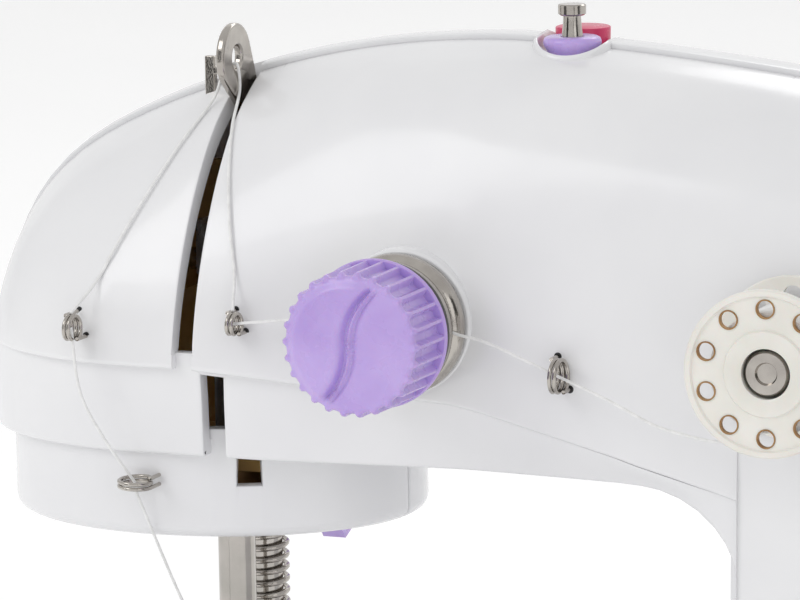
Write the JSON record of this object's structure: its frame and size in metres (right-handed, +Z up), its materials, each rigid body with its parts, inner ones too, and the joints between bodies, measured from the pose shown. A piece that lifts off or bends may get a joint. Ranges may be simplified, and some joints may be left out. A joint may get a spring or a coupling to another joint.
{
  "type": "portable sewing machine",
  "caption": "Small battery lockstitch sewing machine with a white moulded arm over a drawer base, purple tension knob and a threaded needle.",
  "frame": {"origin": "centre of the bounding box on the table, under the machine", "axes": "+X towards the handwheel, +Y to the back, +Z up"},
  "size_m": [0.2055, 0.104, 0.1843],
  "materials": {
    "white_shell": "glossy moulded",
    "white_small": "glossy moulded",
    "purple_plastic": "glossy moulded",
    "pink_plastic": "glossy moulded",
    "nickel": "bright nickel plate",
    "steel": "ground steel",
    "motor_can": "drawn steel can",
    "chromate": "yellow chromate on pressed steel",
    "bronze": "sintered bronze",
    "black_plastic": "matt moulded",
    "belt_rubber": "matt rubber",
    "foot_rubber": "matt rubber",
    "felt": "pressed felt",
    "thread": "twisted thread",
    "bobbin": "satin moulded",
    "lens": "frosted lens"
  },
  "bodies": {
    "root": {"front_shell": "white_shell", "rear_shell": "white_shell", "base_shell": "white_shell", "bottom_cover": "white_small", "rubber_feet": "foot_rubber", "battery_contacts": "nickel", "needle_plate": "steel", "needle_plate_screws": "nickel", "housing_screws": "nickel", "chassis": "chromate", "shaft_bushes": "bronze", "motor": "motor_can", "drive_belt": "belt_rubber", "timing_belt": "belt_rubber", "lower_bushes": "bronze", "bobbin_case": "black_plastic", "needle_bush": "bronze", "presser_spring": "nickel", "tension_stud": "nickel", "tension_discs": "nickel", "tension_felt": "felt", "thread_guides": "nickel", "thread_hook": "nickel", "front_spindle": "nickel", "thread_feed": "thread", "thread_side": "thread", "thread_to_lever": "thread", "thread_from_lever": "thread", "thread_to_needle": "thread", "spool_socket": "purple_plastic", "lamp": "lens"},
    "drive": {"main_shaft": "steel", "crank_disc": "steel", "handwheel": "white_small", "shaft_pulleys": "black_plastic"},
    "motor_rotor": {"motor_pulley": "black_plastic"},
    "lower_drive": {"lower_shaft": "steel"},
    "hook": {"hook": "steel"},
    "lower_bobbin": {"lower_bobbin": "bobbin"},
    "front_bobbin": {"front_bobbin": "bobbin", "thread_winding": "thread"},
    "needle_bar": {"needle_yoke": "steel", "needle_bar": "nickel", "needle_clamp": "nickel", "needle_clamp_screw": "nickel", "needle": "steel"},
    "take_up_lever": {"take_up_lever": "nickel"},
    "presser_bar": {"presser_bar": "nickel", "presser_foot": "nickel", "presser_foot_screw": "nickel"},
    "presser_lifter": {"presser_lifter": "purple_plastic"},
    "feed_carriage": {"feed_carriage": "steel"},
    "feed_dog": {"feed_dog": "steel"},
    "tension_knob": {"tension_knob": "purple_plastic"},
    "spool_pin": {"spool_pin": "nickel"},
    "power_button": {"power_button": "pink_plastic"},
    "speed_switch": {"speed_switch": "purple_plastic"},
    "drawer": {"drawer": "white_small"},
    "slide_cover": {"slide_cover": "white_small"},
    "battery_door": {"battery_door": "white_small"}
  },
  "joints": [
    {"name": "handwheel_turn", "type": "hinge", "parent": "root", "child": "drive", "pos_m": [0.083, 0, 0.143], "axis": [1, 0, 0], "continuous": true},
    {"name": "motor_turn", "type": "hinge", "parent": "root", "child": "motor_rotor", "pos_m": [0.05, 0.014, 0.092], "axis": [1, 0, 0], "continuous": true},
    {"name": "lower_shaft_turn", "type": "hinge", "parent": "root", "child": "lower_drive", "pos_m": [0, -0.0173, 0.032], "axis": [1, 0, 0], "continuous": true},
    {"name": "hook_turn", "type": "hinge", "parent": "root", "child": "hook", "pos_m": [-0.066, -0.0173, 0.045], "axis": [0, 0, 1], "continuous": true},
    {"name": "lower_bobbin_turn", "type": "hinge", "parent": "root", "child": "lower_bobbin", "pos_m": [-0.066, -0.0173, 0.05], "axis": [0, 0, 1], "continuous": true},
    {"name": "front_bobbin_turn", "type": "hinge", "parent": "root", "child": "front_bobbin", "pos_m": [0.016, -0.025, 0.145], "axis": [0, -1, 0], "continuous": true},
    {"name": "needle_bar_slide", "type": "slide", "parent": "root", "child": "needle_bar", "axis": [0, 0, -1], "range_m": [0, 0.02], "deforming": ["thread_to_needle"]},
    {"name": "take_up_swing", "type": "hinge", "parent": "root", "child": "take_up_lever", "pos_m": [-0.066, 0.006, 0.149], "axis": [1, 0, 0], "range_deg": [0, 73], "deforming": ["thread_to_lever", "thread_from_lever"]},
    {"name": "lifter_turn", "type": "hinge", "parent": "root", "child": "presser_lifter", "pos_m": [-0.066, 0.011, 0.1236], "axis": [1, 0, 0], "range_deg": [0, 40]},
    {"name": "presser_bar_slide", "type": "slide", "parent": "root", "child": "presser_bar", "axis": [0, 0, 1], "range_m": [0, 0.006], "deforming": ["presser_spring"]},
    {"name": "feed_lift", "type": "slide", "parent": "root", "child": "feed_carriage", "axis": [0, 0, 1], "range_m": [0, 0.001]},
    {"name": "feed_advance", "type": "slide", "parent": "feed_carriage", "child": "feed_dog", "axis": [0, 1, 0], "range_m": [-0.0012, 0.0012]},
    {"name": "tension_knob_turn", "type": "hinge", "parent": "root", "child": "tension_knob", "pos_m": [-0.0355, -0.03, 0.1466], "axis": [0, -1, 0], "range_deg": [-180, 180]},
    {"name": "spool_pin_pull", "type": "slide", "parent": "root", "child": "spool_pin", "axis": [0, 0, 1], "range_m": [0, 0.008]},
    {"name": "power_button_press", "type": "slide", "parent": "root", "child": "power_button", "axis": [0, 0, -1], "range_m": [0, 0.0015], "stiffness_N_per_m": 300},
    {"name": "speed_switch_slide", "type": "slide", "parent": "root", "child": "speed_switch", "axis": [1, 0, 0], "range_m": [-0.003, 0.004]},
    {"name": "drawer_pull", "type": "slide", "parent": "root", "child": "drawer", "axis": [-1, 0, 0], "range_m": [0, 0.05]},
    {"name": "slide_cover_pull", "type": "slide", "parent": "root", "child": "slide_cover", "axis": [0, -1, 0], "range_m": [0, 0.025]},
    {"name": "battery_door_swing", "type": "hinge", "parent": "root", "child": "battery_door", "pos_m": [0.02, 0.0282, 0.0041], "axis": [1, 0, 0], "range_deg": [0, 80]}
  ],
  "couplings": [
    {"joint": "motor_turn", "follows": "handwheel_turn", "ratio": 2.9565},
    {"joint": "lower_shaft_turn", "follows": "handwheel_turn", "ratio": 1},
    {"joint": "hook_turn", "follows": "handwheel_turn", "ratio": 1},
    {"joint": "take_up_swing", "follows": "needle_bar_slide", "rad_per_m": 63.705},
    {"joint": "lifter_turn", "follows": "presser_bar_slide", "rad_per_m": 116.35}
  ]
}
